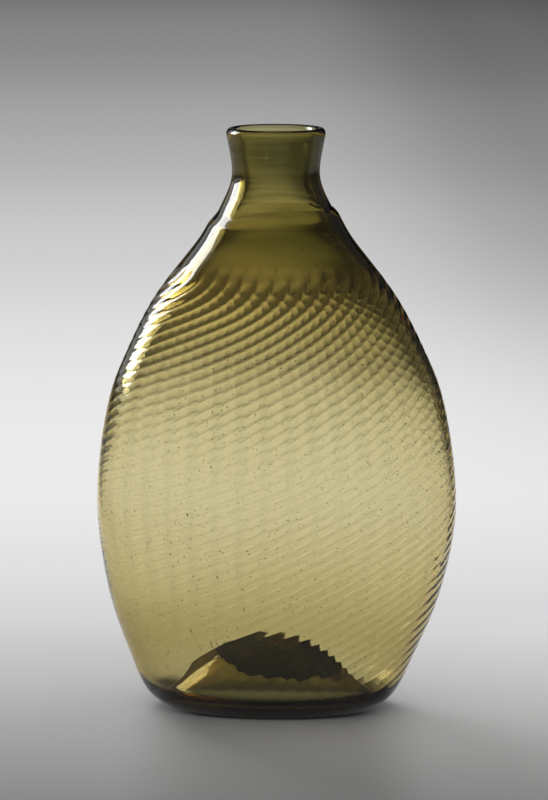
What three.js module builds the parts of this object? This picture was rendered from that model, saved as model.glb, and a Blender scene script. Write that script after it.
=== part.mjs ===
// A pocket bottle of olive glass, blown from two gathers in the half-post way.
//
// The first gather is the post: the mouth, the neck and the inner layer of the body.
// It was dipped again for a second gather, the half post, which ends in a low step under
// the neck. That jacket took 36 ribs from a dip mould, and a turn of the pipe swirled them.
// The body was then blown out, flattened and pushed up from below with a pontil rod, whose
// ring of left-over glass still sits under the kick-up.
//
// Millimetres, +Z up, the resting plane at z = 0, the flat front facing -Y, +X to the right.

import * as THREE from 'three';

// Neck and mouth
const HEIGHT = 163;
const LIP_RADIUS = 13.8;
const LIP_DROP = 1.6;
const THROAT_RADIUS = 12.3;
const THROAT_DROP = 13.5;
const NECK_FOOT_RADIUS = 15.5;
const NECK_FOOT_DROP = 22;
const NECK_WALL = 2.5;
const NECK_FOOT_WALL = 2.8;

// The first gather's outside below the neck: level above the table, half width, half depth
const COLLAR = { level: 133, halfWidth: 19.9, halfDepth: 17.4 };
const SHOULDER = { level: 124, halfWidth: 26.7, halfDepth: 19.9 };
const UPPER_CHEST = { level: 114, halfWidth: 33.8, halfDepth: 20.9 };
const CHEST = { level: 102, halfWidth: 40, halfDepth: 22.6 };
const LOWER_CHEST = { level: 88, halfWidth: 45.5, halfDepth: 25.2 };
const BELLY = { level: 58, halfWidth: 49.4, halfDepth: 27.2 };
const HIP = { level: 33, halfWidth: 45.6, halfDepth: 25.9 };
const ANKLE = { level: 15.5, halfWidth: 39.2, halfDepth: 23.6 };

// The outside of the half post at the bottom, where the glass is heaviest
const HEEL = { level: 4, halfWidth: 34.7, halfDepth: 22.4 };
const FOOT = { level: 0, halfWidth: 29.4, halfDepth: 19 };

// Steps from the outside of the bottom to where the gathers meet, and to the bore
const HEEL_TO_POST = { grow: -0.9, lift: 1 };
const FOOT_TO_POST = { grow: -0.6, lift: 1.8 };
const HEEL_TO_BORE = { grow: -0.8, lift: 2.8 };
const FOOT_TO_BORE = { grow: 0.6, lift: 3.6 };

// Glass thickness of the post, sideways
const SHOULDER_WALL = 2;
const CHEST_WALL = 1.3;
const BODY_WALL = 0.9;
const HIP_WALL = 1.3;

// The half post: where it thins out to nothing, and how thick it is below that
const EDGE_LEVEL = 137.4;
const EDGE_TILT = THREE.MathUtils.degToRad(4.6);
const EDGE_SLOPE = 3.5;
const EDGE_THICKNESS = 1;
const JACKET = 1.1;
const FUSE_GAP = 0.3;

// Ribs of the half post
const RIB_COUNT = 36;
const RIB_DEPTH = 0.55;
const RIB_START = 127;
const RIB_FULL = 116;
const RIB_END = 66;
const SWIRL_LENGTH = 18;
const RIB_RISE = 3.1;
const RIB_BOW = 5.4;

// Base
const REST_RING_WIDTH = 2.2;
const KICK_HEIGHT = 16.8;
const KICK_JACKET = 1.2;
const KICK_POST = 1.4;
const KICK_LEAN = -1.2;
const FOOT_SHIFT = -1.6;
const PONTIL_RADIUS = 10.5;
const PONTIL_WIDTH = 10.5;
const PONTIL_THICKNESS = 1.6;

// How finely the surfaces are divided
const RIB_COLUMNS = 2 * RIB_COUNT;
const SMOOTH_COLUMNS = 28;
const RIBBED_ROW = 2.4;
const PLAIN_ROW = 4.6;
const SMOOTH_ROW = 5.2;
const NECK_ROW = 2.6;
const KICK_ROWS = 8;
const HALVINGS = 40;

const TURN = 2 * Math.PI;
const NECK_FOOT_LEVEL = HEIGHT - NECK_FOOT_DROP;
const BODY = [SHOULDER, UPPER_CHEST, CHEST, LOWER_CHEST, BELLY, HIP, ANKLE];

// Eases from 0 to 1 while x goes from low to high.
const ease = (x, low, high) => THREE.MathUtils.smoothstep(x, low, high);

// One point of a profile: half width, half depth and level of a ring round the bottle.
function station(place, grow = 0, lift = 0) {
  return new THREE.Vector3(place.halfWidth + grow, place.halfDepth + grow, place.level + lift);
}

const lip = { level: HEIGHT - LIP_DROP, halfWidth: LIP_RADIUS, halfDepth: LIP_RADIUS };
const throat = { level: HEIGHT - THROAT_DROP, halfWidth: THROAT_RADIUS, halfDepth: THROAT_RADIUS };
const neckFoot = { level: NECK_FOOT_LEVEL, halfWidth: NECK_FOOT_RADIUS, halfDepth: NECK_FOOT_RADIUS };

// The outside of the first gather, from the lip down to the foot.
const postSide = new THREE.CatmullRomCurve3([
  station(lip),
  station(throat),
  station(neckFoot),
  station(COLLAR),
  ...BODY.map((place) => station(place)),
  station(HEEL, HEEL_TO_POST.grow, HEEL_TO_POST.lift),
  station(FOOT, FOOT_TO_POST.grow, FOOT_TO_POST.lift),
], false, 'centripetal');

// The outside of the half post, from above its edge down to the resting plane.
const jacketSide = new THREE.CatmullRomCurve3([
  station(neckFoot, EDGE_THICKNESS),
  station(COLLAR, EDGE_THICKNESS),
  ...BODY.map((place) => station(place, JACKET)),
  station(HEEL),
  station(FOOT),
], false, 'centripetal');

// The bore, from just under the lip down to the trough round the kick-up.
const boreSide = new THREE.CatmullRomCurve3([
  station(lip, -NECK_WALL),
  station(throat, -NECK_WALL),
  station(neckFoot, -NECK_FOOT_WALL),
  station(COLLAR, -NECK_FOOT_WALL),
  station(SHOULDER, -SHOULDER_WALL),
  station(UPPER_CHEST, -SHOULDER_WALL),
  station(CHEST, -CHEST_WALL),
  station(LOWER_CHEST, -BODY_WALL),
  station(BELLY, -BODY_WALL),
  station(HIP, -HIP_WALL),
  station(ANKLE, -HIP_WALL),
  station(HEEL, HEEL_TO_BORE.grow, HEEL_TO_BORE.lift),
  station(FOOT, FOOT_TO_BORE.grow, FOOT_TO_BORE.lift),
], false, 'centripetal');

// Distance down a profile at which it reaches a level.
function distanceAt(curve, level) {
  const length = curve.getLength();
  let low = 0;
  let high = length;
  for (let i = 0; i < HALVINGS; i += 1) {
    const middle = (low + high) / 2;
    if (curve.getPointAt(middle / length).z > level) low = middle;
    else high = middle;
  }
  return high;
}

// Distances down a profile at even steps, both ends included.
function evenSteps(from, to, step) {
  const count = Math.max(1, Math.round((to - from) / step));
  return Array.from({ length: count + 1 }, (_, i) => from + ((to - from) * i) / count);
}

const placeAt = (curve, distance) => curve.getPointAt(Math.min(1, distance / curve.getLength()));

// A station moved square to its profile, outwards where the distance is positive.
function pushed(curve, distance, push) {
  const share = distance / curve.getLength();
  const slope = curve.getTangentAt(share);
  const across = Math.hypot(slope.x, slope.z);
  const along = Math.hypot(slope.y, slope.z);
  const step = new THREE.Vector3(-slope.z / across, -slope.z / along, slope.x / across);
  return curve.getPointAt(share).addScaledVector(step, push);
}

// The foot of the bottle sits a little to the left of the axis of the neck.
function settle(point) {
  const low = 1 - ease(point.z, 0, BELLY.level);
  return point.setX(point.x + FOOT_SHIFT * low);
}

// A smooth oval ring at one station of a profile.
function smoothRing({ x: halfWidth, y: halfDepth, z }, columns = SMOOTH_COLUMNS, turned = 0) {
  return Array.from({ length: columns }, (_, i) => {
    const angle = TURN * (i / columns - turned);
    return settle(new THREE.Vector3(halfWidth * Math.cos(angle), halfDepth * Math.sin(angle), z));
  });
}

// Where the post and the half post lie on each other, as distances down the post's side.
const seamSteps = evenSteps(distanceAt(postSide, EDGE_LEVEL), postSide.getLength(), SMOOTH_ROW);

// The inner edge of the flat ring that the bottle stands on.
const restOuter = placeAt(jacketSide, jacketSide.getLength());
const restInner = restOuter.clone().sub(new THREE.Vector3(REST_RING_WIDTH, REST_RING_WIDTH, 0));

// How many ribs the swirl has passed from the ribs' start down to a level.
function ribsPassed(level) {
  const down = (RIB_START - Math.max(level, RIB_END)) / SWIRL_LENGTH;
  if (down <= 0) return 0;
  const eased = down < 1 ? down ** 3 - down ** 4 / 2 : down - 0.5;
  return (SWIRL_LENGTH * eased) / RIB_RISE;
}

// How far a rib stands out at a level, strongest on the shoulder and gone at mid-height.
function ribDepth(level) {
  return RIB_DEPTH * (1 - ease(level, RIB_FULL, RIB_START)) * ease(level, RIB_END, RIB_FULL);
}

// A ring of the jacket at a distance down its side. Its columns follow the swirl, so every
// second one is the crest of a rib, and flattening has bowed the ring down in its middle.
function ribbedRing(distance) {
  const middle = placeAt(jacketSide, distance);
  const oval = new THREE.EllipseCurve(0, 0, middle.x, middle.y, 0, TURN);
  const sag = RIB_BOW * ease(middle.z, 0, HIP.level) * (1 - ease(middle.z, UPPER_CHEST.level, RIB_START));
  const turned = ribsPassed(middle.z) / RIB_COUNT;
  return Array.from({ length: RIB_COLUMNS }, (_, i) => {
    const flat = oval.getPointAt(THREE.MathUtils.euclideanModulo(i / RIB_COLUMNS - turned, 1));
    const cosine = flat.x / middle.x;
    const sine = flat.y / middle.y;
    const place = placeAt(jacketSide, distance - sag * cosine ** 2);
    const outward = new THREE.Vector2(cosine / place.x, sine / place.y).normalize();
    const ridge = (i % 2 === 0 ? 0.5 : -0.5) * ribDepth(middle.z);
    return settle(new THREE.Vector3(
      place.x * cosine + outward.x * ridge,
      place.y * sine + outward.y * ridge,
      place.z,
    ));
  });
}

// A tilted ring of the slope in which the half post ends, this far up it and out from a profile.
function edgeRing(curve, grow, rise, columns) {
  const { x: halfWidth } = placeAt(curve, distanceAt(curve, EDGE_LEVEL));
  return Array.from({ length: columns }, (_, i) => {
    const angle = (TURN * i) / columns;
    const level = EDGE_LEVEL + rise + halfWidth * Math.cos(angle) * Math.tan(EDGE_TILT);
    const place = placeAt(curve, distanceAt(curve, level));
    const x = (place.x + grow) * Math.cos(angle);
    const y = (place.y + grow) * Math.sin(angle);
    return settle(new THREE.Vector3(x, y, place.z));
  });
}

// The push-up in the base: a blunt oval dome that leans a little, as rings from the foot inwards.
function kickUpRings(foot, top, columns, turned = 0) {
  return Array.from({ length: KICK_ROWS }, (_, k) => {
    const reach = 1 - (k + 1) / KICK_ROWS;
    const form = kickForm(reach);
    const size = new THREE.Vector3(foot.x * reach, foot.y * reach, foot.z + (top - foot.z) * form);
    const ring = smoothRing(size, reach > 0 ? columns : 1, turned);
    return ring.map((point) => point.setX(point.x + KICK_LEAN * form));
  });
}

// Height of the dome, as a share of its rise, at a share of the way out to its foot.
function kickForm(reach) {
  return (1 - reach ** 2.5) ** 1.15;
}

// Joins two rings of any number of points with triangles, going round both at one pace.
function zip(lower, upper, triangles) {
  let i = 0;
  let j = 0;
  const stepsLower = lower.length === 1 ? 0 : lower.length;
  const stepsUpper = upper.length === 1 ? 0 : upper.length;
  while (i < stepsLower || j < stepsUpper) {
    const a = lower[i % lower.length];
    const b = upper[j % upper.length];
    const nextLower = (i + 1) / lower.length;
    const nextUpper = (j + 1) / upper.length;
    if (j >= stepsUpper || (i < stepsLower && nextLower <= nextUpper)) {
      i += 1;
      triangles.push([a, lower[i % lower.length], b]);
    } else {
      j += 1;
      triangles.push([a, upper[j % upper.length], b]);
    }
  }
}

// A closed body from a chain of rings. A chain that starts and ends in one point is closed
// by those poles, and a chain that doesn't is closed by joining its last ring to its first.
function loft(rings) {
  const triangles = [];
  for (let k = 0; k + 1 < rings.length; k += 1) zip(rings[k], rings[k + 1], triangles);
  if (rings[0].length > 1) zip(rings[rings.length - 1], rings[0], triangles);
  const geometry = new THREE.BufferGeometry();
  const positions = triangles.flat().flatMap((point) => point.toArray());
  geometry.setAttribute('position', new THREE.Float32BufferAttribute(positions, 3));
  geometry.computeVertexNormals();
  return geometry;
}

// First gather: up the outside from under the kick-up, over the rounded lip, down the bore.
function firstGather() {
  const neck = evenSteps(0, seamSteps[0], NECK_ROW).slice(0, -1);
  const outside = [...neck, ...seamSteps].map((distance) => smoothRing(placeAt(postSide, distance)));
  const boreSteps = evenSteps(0, boreSide.getLength(), SMOOTH_ROW);
  const inside = boreSteps.map((distance) => smoothRing(placeAt(boreSide, distance)));
  const lipRings = [1, 2, 3].map((k) => {
    const turn = (Math.PI * k) / 4;
    const radius = LIP_RADIUS - (NECK_WALL / 2) * (1 - Math.cos(turn));
    return smoothRing(new THREE.Vector3(radius, radius, lip.level + LIP_DROP * Math.sin(turn)));
  });
  const boreFoot = placeAt(boreSide, boreSide.getLength());
  const floor = kickUpRings(boreFoot, KICK_HEIGHT + KICK_JACKET + KICK_POST, SMOOTH_COLUMNS);
  return loft([...postKickUp(0).reverse(), ...outside.reverse(), ...lipRings, ...inside, ...floor]);
}

// Where the post's own kick-up starts, drawn in and lowered by a clearance.
function postFoot(clearance) {
  return placeAt(postSide, postSide.getLength()).subScalar(clearance);
}

// The post's own kick-up, drawn in and lowered by a clearance.
function postKickUp(clearance) {
  return kickUpRings(postFoot(clearance), KICK_HEIGHT + KICK_JACKET - clearance, SMOOTH_COLUMNS);
}

// Half post: up the ribbed outside from under the kick-up, over its edge, down to the post.
function halfPost() {
  const start = distanceAt(jacketSide, EDGE_LEVEL);
  const ribEnd = distanceAt(jacketSide, RIB_END);
  const ribbed = evenSteps(start, ribEnd, RIBBED_ROW).slice(1);
  const plain = evenSteps(ribEnd, jacketSide.getLength(), PLAIN_ROW).slice(1);
  const outside = [...ribbed, ...plain].map(ribbedRing);
  const edge = [
    edgeRing(jacketSide, 0, 0, RIB_COLUMNS),
    edgeRing(jacketSide, -EDGE_THICKNESS / 2, EDGE_SLOPE / 2, SMOOTH_COLUMNS),
    edgeRing(postSide, FUSE_GAP, EDGE_SLOPE, SMOOTH_COLUMNS),
  ];
  const seam = seamSteps.map((distance) => smoothRing(pushed(postSide, distance, FUSE_GAP)));
  const seamFoot = smoothRing(postFoot(FUSE_GAP));
  const turned = ribsPassed(RIB_END) / RIB_COUNT;
  const restRing = smoothRing(restInner, RIB_COLUMNS / 2, turned);
  const under = kickUpRings(restInner, KICK_HEIGHT, RIB_COLUMNS / 2, turned);
  const underside = [...under.reverse(), restRing];
  return loft([...underside, ...outside.reverse(), ...edge, ...seam, seamFoot, ...postKickUp(FUSE_GAP)]);
}

// Pontil scar: a wide, uneven oval ring of glass that follows the underside of the kick-up.
function pontilScar() {
  const corner = [[-0.5, 0], [-0.35, -0.7], [0.1, -1], [0.4, -0.6], [0.5, 0], [0.2, 0], [-0.2, 0]];
  const rings = corner.map(([across, down]) => Array.from({ length: SMOOTH_COLUMNS }, (_, i) => {
    const angle = (TURN * i) / SMOOTH_COLUMNS;
    const uneven = 1 + 0.12 * Math.sin(3 * angle) + 0.08 * Math.sin(7 * angle + 1);
    const reach = (PONTIL_RADIUS + PONTIL_WIDTH * across * uneven) / restInner.x;
    const form = kickForm(reach);
    const x = restInner.x * reach * Math.cos(angle) + KICK_LEAN * form;
    const y = restInner.y * reach * Math.sin(angle);
    const level = KICK_HEIGHT * form - FUSE_GAP + PONTIL_THICKNESS * down * uneven;
    return settle(new THREE.Vector3(x, y, level));
  }));
  return loft(rings);
}

function glass(color, roughness) {
  return new THREE.MeshStandardMaterial({ color, roughness, metalness: 0, transparent: true, opacity: 0.5 });
}

const group = new THREE.Group();

function addPiece(name, geometry, material) {
  const mesh = new THREE.Mesh(geometry, material);
  mesh.name = name;
  group.add(mesh);
}

addPiece('first_gather', firstGather(), glass(0x8a7d36, 0.06));
addPiece('half_post', halfPost(), glass(0x7c7030, 0.08));
addPiece('pontil_scar', pontilScar(), glass(0x6a6032, 0.5));

export default group;
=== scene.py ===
# %% [markdown]
# # A pocket bottle of olive glass, blown from two gathers
#
# This script dresses one blown bottle for a studio picture. A bottle like this starts as a
# first gather of glass on a pipe, the post. It is dipped again, and the second gather, the half
# post, stops in a low step under the neck. That jacket is pressed into a ribbed mould, and a turn
# of the pipe swirls the ribs. Then the body is blown out, flattened, and pushed up from below.
#
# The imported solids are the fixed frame. Everything is in metres, +Z up, and the front faces -Y.

import math

import bpy
import numpy as np
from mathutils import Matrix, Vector


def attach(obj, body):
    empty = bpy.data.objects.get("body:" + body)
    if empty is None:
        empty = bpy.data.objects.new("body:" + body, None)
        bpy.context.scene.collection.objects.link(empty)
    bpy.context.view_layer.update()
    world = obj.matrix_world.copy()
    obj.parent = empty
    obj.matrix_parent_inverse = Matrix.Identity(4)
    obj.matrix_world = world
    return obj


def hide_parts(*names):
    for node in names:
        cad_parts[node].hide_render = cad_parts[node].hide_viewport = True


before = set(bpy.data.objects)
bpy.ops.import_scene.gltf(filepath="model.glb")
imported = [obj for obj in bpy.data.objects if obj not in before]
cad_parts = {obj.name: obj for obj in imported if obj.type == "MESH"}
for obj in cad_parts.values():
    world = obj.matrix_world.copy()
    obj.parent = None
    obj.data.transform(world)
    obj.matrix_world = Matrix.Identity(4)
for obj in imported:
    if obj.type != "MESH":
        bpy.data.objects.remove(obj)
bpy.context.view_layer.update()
print("nodes:", sorted(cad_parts))

# %% [markdown]
# ## Where the camera stands
#
# The picture was taken from a little above the mouth with a long lens, from a few degrees to
# the right of square on. The outline of the bottle, the ring of its mouth and the curve of its
# base fix the place: 1.25 m away and 0.27 m above the table. A long lens keeps the sides nearly
# parallel, so the lens is as important for likeness as the glass.

# %% Make the camera
CAMERA_REACH = 1.252
CAMERA_RISE = 0.270
CAMERA_TURN = math.radians(6)
CAMERA_DIP = math.radians(8.33)
CAMERA_ASIDE = 0.00056
LENS_MM = 203.7
SENSOR_MM = 36

camera_data = bpy.data.cameras.new("picture_camera")
camera_data.lens = LENS_MM
camera_data.sensor_width = SENSOR_MM
camera = bpy.data.objects.new("picture_camera", camera_data)
bpy.context.collection.objects.link(camera)
bpy.context.scene.camera = camera

aside = Vector((math.cos(CAMERA_TURN), math.sin(CAMERA_TURN), 0)) * -CAMERA_ASIDE
stand = Vector((math.sin(CAMERA_TURN), -math.cos(CAMERA_TURN), 0)) * CAMERA_REACH
camera.location = stand + aside + Vector((0, 0, CAMERA_RISE))
camera.rotation_euler = (math.pi / 2 - CAMERA_DIP, 0, CAMERA_TURN)
print("camera at", [round(value, 3) for value in camera.location])

# %% [markdown]
# ## Node trees written as sums
#
# A glass recipe is easier to read as arithmetic than as a web of boxes. A `Wire` holds one
# socket, and adding or multiplying wires makes the Math nodes. A `Bench` makes every other kind
# of node in one tree. The same two classes serve materials and Geometry Nodes.

# %% Define the wires and the bench
class Wire:
    """One output socket that can be used in sums."""

    def __init__(self, bench, socket):
        self.bench = bench
        self.socket = socket

    def __add__(self, other):
        return self.bench.maths("ADD", self, other)

    def __sub__(self, other):
        return self.bench.maths("SUBTRACT", self, other)

    def __rsub__(self, other):
        return self.bench.maths("SUBTRACT", other, self)

    def __mul__(self, other):
        return self.bench.maths("MULTIPLY", self, other)

    def __truediv__(self, other):
        return self.bench.maths("DIVIDE", self, other)

    def __pow__(self, other):
        return self.bench.maths("POWER", self, other)

    __radd__ = __add__
    __rmul__ = __mul__


class Bench:
    """Makes the nodes of one tree."""

    def __init__(self, tree):
        self.tree = tree

    def node(self, kind, settings=None, values=None, out=0):
        """One node: its settings first, then the values or wires of its sockets."""
        made = self.tree.nodes.new(kind)
        for name, value in (settings or {}).items():
            if name in ("stops", "smooth_stops"):
                self.set_stops(made.color_ramp, value)
                made.color_ramp.interpolation = "LINEAR" if name == "stops" else "CARDINAL"
            else:
                setattr(made, name, value)
        for name, value in (values or {}).items():
            if isinstance(value, Wire):
                self.tree.links.new(value.socket, made.inputs[name])
            else:
                made.inputs[name].default_value = value
        return Wire(self, made.outputs[out])

    def set_stops(self, ramp, stops):
        """Gives a ramp its stops. Each is a place and a grey level or a colour."""
        while len(ramp.elements) < len(stops):
            ramp.elements.new(1)
        for element, (place, grey) in zip(ramp.elements, stops):
            element.position = place
            element.color = (grey, grey, grey, 1) if isinstance(grey, float) else grey

    def maths(self, operation, first, second=0):
        """One Math node."""
        return self.node("ShaderNodeMath", {"operation": operation}, {0: first, 1: second})

    def eased(self, value, low, high):
        """Rises smoothly from 0 to 1 while a value goes from low to high."""
        settings = {"interpolation_type": "SMOOTHSTEP"}
        return self.node("ShaderNodeMapRange", settings, {0: value, 1: low, 2: high})

    def mixed(self, share, first, second, blend="MIX"):
        """One colour blended over another by a share."""
        settings = {"data_type": "RGBA", "blend_type": blend}
        values = {"Factor": share, "A": first, "B": second}
        return self.node("ShaderNodeMix", settings, values, out="Result")

    def scaled(self, arrow, amount):
        """A vector or a colour times a number."""
        return self.node("ShaderNodeVectorMath", {"operation": "SCALE"}, {0: arrow, "Scale": amount})

    def attribute(self, name):
        """A number that a piece carries at each of its points, read by a material."""
        return self.node("ShaderNodeAttribute", {"attribute_name": name}, out="Fac")


def new_material(name):
    """An empty material, its bench and its output node."""
    material = bpy.data.materials.new(name)
    material.use_nodes = True
    material.node_tree.nodes.clear()
    output = material.node_tree.nodes.new("ShaderNodeOutputMaterial")
    return material, Bench(material.node_tree), output


print("sums of wires are ready")

# %% [markdown]
# ## The outline of the blown body
#
# A bottle blown this way is an oval at every height, so its outline is a list of stations: the
# level, the half width and the half depth of an oval. A smooth curve joins them. These are the
# stations of the solids, so the picture and the part have one shape.

# %% Name the stations in metres
MM = 0.001
HEIGHT = 163 * MM
LIP = (161.4 * MM, 13.8 * MM, 13.8 * MM)
THROAT = (149.5 * MM, 12.3 * MM, 12.3 * MM)
NECK_FOOT = (141 * MM, 15.5 * MM, 15.5 * MM)
COLLAR = (133 * MM, 19.9 * MM, 17.4 * MM)
SHOULDER = (124 * MM, 26.7 * MM, 19.9 * MM)
UPPER_CHEST = (114 * MM, 33.8 * MM, 20.9 * MM)
CHEST = (102 * MM, 40 * MM, 22.6 * MM)
LOWER_CHEST = (88 * MM, 45.5 * MM, 25.2 * MM)
BELLY = (58 * MM, 49.4 * MM, 27.2 * MM)
HIP = (33 * MM, 45.6 * MM, 25.9 * MM)
ANKLE = (15.5 * MM, 39.2 * MM, 23.6 * MM)
HEEL = (4 * MM, 34.7 * MM, 22.4 * MM)
FOOT = (0, 29.4 * MM, 19 * MM)
BODY = [SHOULDER, UPPER_CHEST, CHEST, LOWER_CHEST, BELLY, HIP, ANKLE]
FOOT_SHIFT = -1.6 * MM
CURVE_STEPS = 60

print("stations from", round(LIP[0], 4), "down to", round(FOOT[0], 4))

# %% Join the stations with a smooth curve
class Profile:
    """A smooth curve through stations, read by the distance run down it."""

    def __init__(self, stations):
        points = np.array(stations)
        ends = [2 * points[0] - points[1], *points, 2 * points[-1] - points[-2]]
        spans = zip(ends, ends[1:], ends[2:], ends[3:])
        run = np.vstack([self.span(*four) for four in spans] + [points[-1:]])
        self.points = run
        steps = np.linalg.norm(np.diff(run, axis=0), axis=1)
        self.run = np.concatenate([[0], np.cumsum(steps)])
        self.length = self.run[-1]

    def span(self, before, start, end, after):
        """The centripetal curve between two stations."""
        first, middle, last = (
            math.sqrt(np.linalg.norm(b - a))
            for a, b in ((before, start), (start, end), (end, after))
        )
        chord = (end - start) / middle
        leave = (start - before) / first - (end - before) / (first + middle) + chord
        arrive = chord - (after - start) / (middle + last) + (after - end) / last
        leave, arrive = leave * middle, arrive * middle
        share = np.arange(CURVE_STEPS)[:, None] / CURVE_STEPS
        bend = -3 * start + 3 * end - 2 * leave - arrive
        twist = 2 * start - 2 * end + leave + arrive
        return start + leave * share + bend * share**2 + twist * share**3

    def at(self, distance):
        """Level, half width and half depth at a distance, or at many."""
        return [np.interp(distance, self.run, self.points[:, k]) for k in range(3)]

    def distance(self, level):
        """Distance at which the curve comes down to a level."""
        return np.interp(-np.asarray(level), -self.points[:, 0], self.run)


def grown(station, grow):
    """A station made wider and deeper all round."""
    level, half_width, half_depth = station
    return (level, half_width + grow, half_depth + grow)


# %% [markdown]
# ## How thick the glass is
#
# Thick glass looks darker than thin glass of the same batch, so the wall decides the tone. The
# picture is darkest at the shoulder and the heel and palest at the belly. On a free-blown
# bottle that is what happens: glass blown out furthest ends thinnest. Each station of the body
# gets its own wall, and the bore is the outside less that wall. The heel and the foot have
# stations of their own, because the glass there is thick in two directions.

# %% Build the three profiles
JACKET = 1.1 * MM
EDGE_THICKNESS = 1 * MM
NECK_WALL = 2.7 * MM
NECK_FOOT_WALL = 2.9 * MM
COLLAR_WALL = 3.8 * MM
BODY_WALLS = [3.9 * MM, 3.1 * MM, 2.4 * MM, 1.7 * MM, 1.35 * MM, 1.9 * MM, 2.3 * MM]
BORE_HEEL = (6.8 * MM, 33.9 * MM, 21.6 * MM)
BORE_FOOT = (3.6 * MM, 29.4 * MM, 18.8 * MM)

post_side = Profile([LIP, THROAT, NECK_FOOT, COLLAR, SHOULDER])
jacket_side = Profile([
    grown(NECK_FOOT, EDGE_THICKNESS),
    grown(COLLAR, EDGE_THICKNESS),
    *[grown(station, JACKET) for station in BODY],
    HEEL,
    FOOT,
])
bore_side = Profile([
    grown(LIP, -NECK_WALL),
    grown(THROAT, -NECK_WALL),
    grown(NECK_FOOT, -NECK_FOOT_WALL),
    grown(COLLAR, EDGE_THICKNESS - COLLAR_WALL),
    *[grown(station, JACKET - wall) for station, wall in zip(BODY, BODY_WALLS)],
    BORE_HEEL,
    BORE_FOOT,
])
print("profile lengths:", round(jacket_side.length, 4), round(bore_side.length, 4))

# %% [markdown]
# ## How the ribs swirl
#
# The mould gives 36 upright ribs. While the glass is soft, the maker turns the pipe, and the
# ribs lean over: straight down at their start, then faster, then at an even pace. So the mesh
# of the outside follows the swirl. Each tenth column of points is the crest of a rib, which
# keeps every rib smooth with few faces.

# %% Work out the swirl
RIB_COUNT = 36
RIB_START = 127 * MM
SWIRL_LENGTH = 18 * MM
RIB_RISE = 3.1 * MM
RIB_BOW = 5.4 * MM
OUTER_COLUMNS = 10 * RIB_COUNT
INNER_COLUMNS = OUTER_COLUMNS // 2


def ease(value, low, high):
    """Rises smoothly from 0 to 1 while a value goes from low to high."""
    share = np.clip((value - low) / (high - low), 0, 1)
    return share * share * (3 - 2 * share)


def ribs_passed(level):
    """How many ribs the swirl has passed from the ribs' start down to a level."""
    down = max(0, (RIB_START - level) / SWIRL_LENGTH)
    eased = down**3 - down**4 / 2 if down < 1 else down - 0.5
    return SWIRL_LENGTH * eased / RIB_RISE


def bow(level):
    """How far flattening has bowed a ring down in the middle of the front and back."""
    return RIB_BOW * ease(level, 0, HIP[0]) * (1 - ease(level, UPPER_CHEST[0], RIB_START))


print("ribs passed at the belly:", round(ribs_passed(BELLY[0]), 1))

# %% Place the points of a ring
RIM_STEPS = 1440
WANDER_WAVES = [(1, 0, 1), (4, 1, 0.4), (9, 0, 0.3)]


def column_angles(half_width, half_depth, columns, turned):
    """Angles that split an oval into columns of one length along its rim."""
    fine = np.linspace(0, 2 * math.pi, RIM_STEPS + 1)
    steps = np.hypot(half_width * np.diff(np.cos(fine)), half_depth * np.diff(np.sin(fine)))
    rim = np.concatenate([[0], np.cumsum(steps)])
    share = (np.arange(columns) / columns - turned) % 1
    return np.interp(share * rim[-1], rim, fine)


def ring(profile, distance, columns, turned=0, tilt=0, sag=0, grow=0, wander=0):
    """One ring of points, which can be tilted up at its right, bowed down in front or wander."""
    _, half_width, half_depth = profile.at(distance)
    angles = column_angles(half_width, half_depth, columns, turned)
    rise = half_width * np.cos(angles) * math.tan(tilt) + sag * np.cos(angles) ** 2
    waves = sum(size * np.sin(count * angles + start) for count, start, size in WANDER_WAVES)
    rise = rise + wander * waves
    level, half_width, half_depth = profile.at(distance - rise)
    x = (half_width + grow) * np.cos(angles)
    y = (half_depth + grow) * np.sin(angles)
    x = x + FOOT_SHIFT * (1 - ease(level, 0, BELLY[0]))
    return np.column_stack([x, y, level])


def even_steps(start, end, step):
    """Distances from a start to an end, as evenly as a step allows."""
    return np.linspace(start, end, max(2, round((end - start) / step) + 1))


print("a ring at the belly is", len(ring(jacket_side, 0.09, OUTER_COLUMNS)), "points")

# %% [markdown]
# ## The pushed-up base
#
# A pontil rod pushed the base up, so that the bottle stands on a narrow ring. The dome is blunt:
# nearly flat on top and steep at its foot. It leans a little to the left, as the rod was held.
# The same rule makes the underside and the floor of the bore, at their own heights.

# %% Make the rings of the kick-up
KICK_ROWS = 14
REST_RING_WIDTH = 2.2 * MM
KICK_HEIGHT = 16.8 * MM
KICK_TOP = 19.4 * MM
KICK_LEAN = -1.2 * MM
KICK_BLUNTNESS = 2.5
KICK_SPREAD = 1.15


def kick_form(reach):
    """Height of the dome as a share of its rise, at a share of the way out to its foot."""
    return (1 - reach**KICK_BLUNTNESS) ** KICK_SPREAD


def kick_middle(level):
    """How far right of the axis the middle of the dome lies at a level."""
    return FOOT_SHIFT * (1 - ease(level, 0, BELLY[0])) + KICK_LEAN * ease(level, 0, KICK_TOP)


def kick_rings(foot, top, columns, turned=0):
    """The dome from its foot inwards, ending in one point. The foot is a level and two radii."""
    level, half_width, half_depth = foot
    angles = column_angles(half_width, half_depth, columns, turned)
    rings = []
    for row in range(1, KICK_ROWS):
        reach = 1 - row / KICK_ROWS
        height = level + (top - level) * kick_form(reach)
        x = half_width * reach * np.cos(angles) + kick_middle(height)
        y = half_depth * reach * np.sin(angles)
        rings.append(np.column_stack([x, y, np.full(columns, height)]))
    return rings + [np.array([[kick_middle(top), 0, top]])]


rest_outer = [float(value) for value in jacket_side.at(jacket_side.length)]
rest_inner = (rest_outer[0], rest_outer[1] - REST_RING_WIDTH, rest_outer[2] - REST_RING_WIDTH)
print("foot ring, half width and depth:", [round(value, 4) for value in rest_outer[1:]])

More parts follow.
